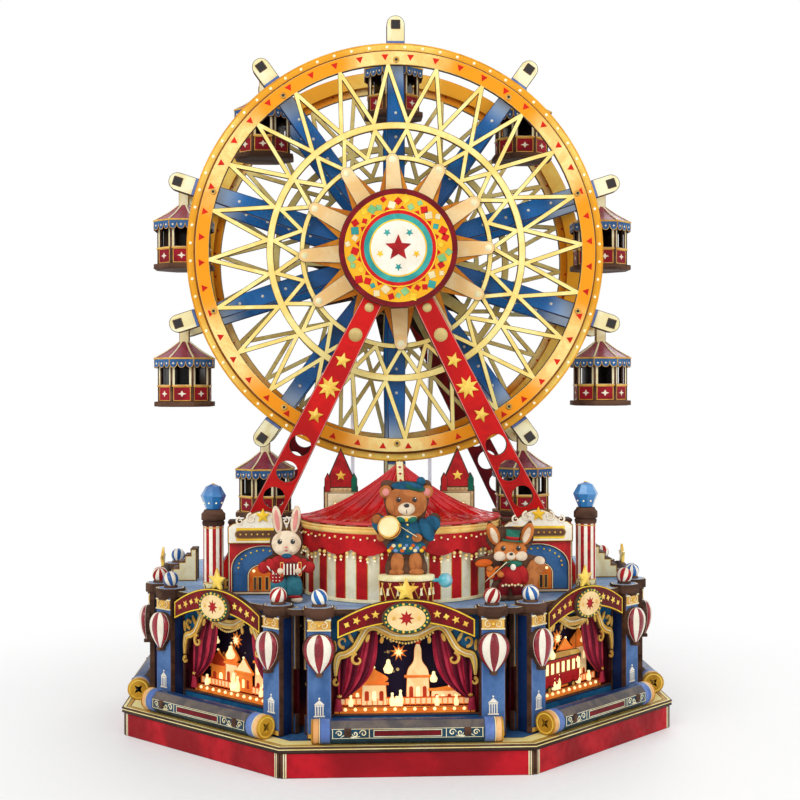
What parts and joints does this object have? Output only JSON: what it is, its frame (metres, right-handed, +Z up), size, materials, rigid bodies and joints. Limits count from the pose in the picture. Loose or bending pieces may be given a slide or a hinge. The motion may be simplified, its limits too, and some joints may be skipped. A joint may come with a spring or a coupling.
{
  "type": "ferris wheel music box",
  "caption": "Plywood ferris wheel music box: a double truss wheel with swinging gondolas on A-frames above an octagonal theatre base with a wind-up movement.",
  "frame": {"origin": "centre of the octagonal base's underside", "axes": "+Z up along the tallest extent; +Y along the wheel's axle, away from the front; +X to the right"},
  "size_m": [0.2656, 0.2656, 0.3515],
  "materials": {
    "raw_plywood": "laser-cut birch plywood, sealed",
    "crimson_panel": "printed crimson plywood",
    "cream_top": "printed cream plywood with brown edges",
    "deck_print": "printed blue plywood",
    "facade_print": "printed blue plywood with gold trim",
    "sign_print": "printed maroon plywood with gold edge",
    "roller_print": "printed teal plywood with cream scrolls",
    "curtain_print": "printed maroon curtain on plywood",
    "backdrop_print": "printed landscape on plywood",
    "tent_print": "red and cream striped plywood",
    "tent_roof_gloss": "glossy red painted roof",
    "castle_print": "printed cream and gold plywood",
    "booth_print": "printed orange and blue plywood",
    "post_print": "striped turned post with blue lantern",
    "figure_print": "printed figure on plywood",
    "frame_print": "printed red plywood with gold stars",
    "badge_print": "printed ringed badge",
    "truss_print": "printed cream and orange truss",
    "arm_print": "printed blue arm with cream end",
    "gondola_print": "printed gondola plywood",
    "axle_steel": "ground steel",
    "movement_brass": "polished brass",
    "belt_rubber": "white rubber belt"
  },
  "bodies": {
    "base": {"bottom_plate": "raw_plywood", "plinth_walls": "crimson_panel", "plinth_top_plate": "cream_top", "deck_plate": "deck_print", "back_wall": "crimson_panel", "stage_curtains": "curtain_print", "backdrop": "backdrop_print", "theatre_front_1": "facade_print", "theatre_front_2": "facade_print", "theatre_front_3": "facade_print", "theatre_front_4": "facade_print", "theatre_front_5": "facade_print", "sign_board_1": "sign_print", "sign_board_2": "sign_print", "sign_board_3": "sign_print", "sign_board_4": "sign_print", "sign_board_5": "sign_print", "scroll_roller_1": "roller_print", "scroll_roller_2": "roller_print", "scroll_roller_3": "roller_print", "scroll_roller_4": "roller_print", "scroll_roller_5": "roller_print", "tent_body": "tent_print", "tent_roof": "tent_roof_gloss", "castle_board": "castle_print", "ticket_booth_right": "booth_print", "ticket_booth_left": "booth_print", "striped_post_right": "post_print", "striped_post_left": "post_print", "bear_on_drum": "figure_print", "rabbit_figure": "figure_print", "fox_figure": "figure_print", "front_frame": "frame_print", "rear_frame": "frame_print", "hub_badge": "badge_print", "drive_belt": "belt_rubber", "movement_bedplate": "movement_brass", "music_comb": "axle_steel"},
    "wheel": {"axle": "axle_steel", "wheel_hub": "raw_plywood", "front_wheel_plate": "truss_print", "rear_wheel_plate": "truss_print", "front_rim_band": "truss_print", "rear_rim_band": "truss_print", "front_arms": "arm_print", "rear_arms": "arm_print"},
    "gondola_01": {"gondola_01": "gondola_print"},
    "gondola_02": {"gondola_02": "gondola_print"},
    "gondola_03": {"gondola_03": "gondola_print"},
    "gondola_04": {"gondola_04": "gondola_print"},
    "gondola_05": {"gondola_05": "gondola_print"},
    "gondola_06": {"gondola_06": "gondola_print"},
    "gondola_07": {"gondola_07": "gondola_print"},
    "gondola_08": {"gondola_08": "gondola_print"},
    "gondola_09": {"gondola_09": "gondola_print"},
    "gondola_10": {"gondola_10": "gondola_print"},
    "music_cylinder": {"music_cylinder": "movement_brass"},
    "spring_barrel": {"spring_barrel": "movement_brass"},
    "governor": {"governor": "movement_brass"},
    "winding_key": {"winding_key": "movement_brass"}
  },
  "joints": [
    {"name": "wheel_spin", "type": "hinge", "parent": "base", "child": "wheel", "pos_m": [0, 0, 0.233], "axis": [0, 1, 0], "continuous": true},
    {"name": "gondola_01_swing", "type": "hinge", "parent": "wheel", "child": "gondola_01", "pos_m": [0, 0, 0.347], "axis": [0, 1, 0], "continuous": true},
    {"name": "gondola_02_swing", "type": "hinge", "parent": "wheel", "child": "gondola_02", "pos_m": [-0.06701, 0, 0.32523], "axis": [0, 1, 0], "continuous": true},
    {"name": "gondola_03_swing", "type": "hinge", "parent": "wheel", "child": "gondola_03", "pos_m": [-0.10842, 0, 0.26823], "axis": [0, 1, 0], "continuous": true},
    {"name": "gondola_04_swing", "type": "hinge", "parent": "wheel", "child": "gondola_04", "pos_m": [-0.10842, 0, 0.19777], "axis": [0, 1, 0], "continuous": true},
    {"name": "gondola_05_swing", "type": "hinge", "parent": "wheel", "child": "gondola_05", "pos_m": [-0.06701, 0, 0.14077], "axis": [0, 1, 0], "continuous": true},
    {"name": "gondola_06_swing", "type": "hinge", "parent": "wheel", "child": "gondola_06", "pos_m": [0, 0, 0.119], "axis": [0, 1, 0], "continuous": true},
    {"name": "gondola_07_swing", "type": "hinge", "parent": "wheel", "child": "gondola_07", "pos_m": [0.06701, 0, 0.14077], "axis": [0, 1, 0], "continuous": true},
    {"name": "gondola_08_swing", "type": "hinge", "parent": "wheel", "child": "gondola_08", "pos_m": [0.10842, 0, 0.19777], "axis": [0, 1, 0], "continuous": true},
    {"name": "gondola_09_swing", "type": "hinge", "parent": "wheel", "child": "gondola_09", "pos_m": [0.10842, 0, 0.26823], "axis": [0, 1, 0], "continuous": true},
    {"name": "gondola_10_swing", "type": "hinge", "parent": "wheel", "child": "gondola_10", "pos_m": [0.06701, 0, 0.32523], "axis": [0, 1, 0], "continuous": true},
    {"name": "cylinder_spin", "type": "hinge", "parent": "base", "child": "music_cylinder", "pos_m": [0, 0, 0.0425], "axis": [0, 1, 0], "continuous": true},
    {"name": "barrel_spin", "type": "hinge", "parent": "base", "child": "spring_barrel", "pos_m": [0.026, 0, 0.0425], "axis": [0, 1, 0], "continuous": true},
    {"name": "governor_spin", "type": "hinge", "parent": "base", "child": "governor", "pos_m": [-0.01741, 0, 0.0335], "axis": [0, 1, 0], "continuous": true},
    {"name": "key_turn", "type": "hinge", "parent": "base", "child": "winding_key", "pos_m": [0.026, 0, 0.0425], "axis": [0, 1, 0], "continuous": true}
  ],
  "couplings": [
    {"joint": "gondola_01_swing", "follows": "wheel_spin", "ratio": -1},
    {"joint": "gondola_02_swing", "follows": "wheel_spin", "ratio": -1},
    {"joint": "gondola_03_swing", "follows": "wheel_spin", "ratio": -1},
    {"joint": "gondola_04_swing", "follows": "wheel_spin", "ratio": -1},
    {"joint": "gondola_05_swing", "follows": "wheel_spin", "ratio": -1},
    {"joint": "gondola_06_swing", "follows": "wheel_spin", "ratio": -1},
    {"joint": "gondola_07_swing", "follows": "wheel_spin", "ratio": -1},
    {"joint": "gondola_08_swing", "follows": "wheel_spin", "ratio": -1},
    {"joint": "gondola_09_swing", "follows": "wheel_spin", "ratio": -1},
    {"joint": "gondola_10_swing", "follows": "wheel_spin", "ratio": -1},
    {"joint": "cylinder_spin", "follows": "wheel_spin", "ratio": 1},
    {"joint": "barrel_spin", "follows": "wheel_spin", "ratio": -1},
    {"joint": "governor_spin", "follows": "wheel_spin", "ratio": -2}
  ]
}
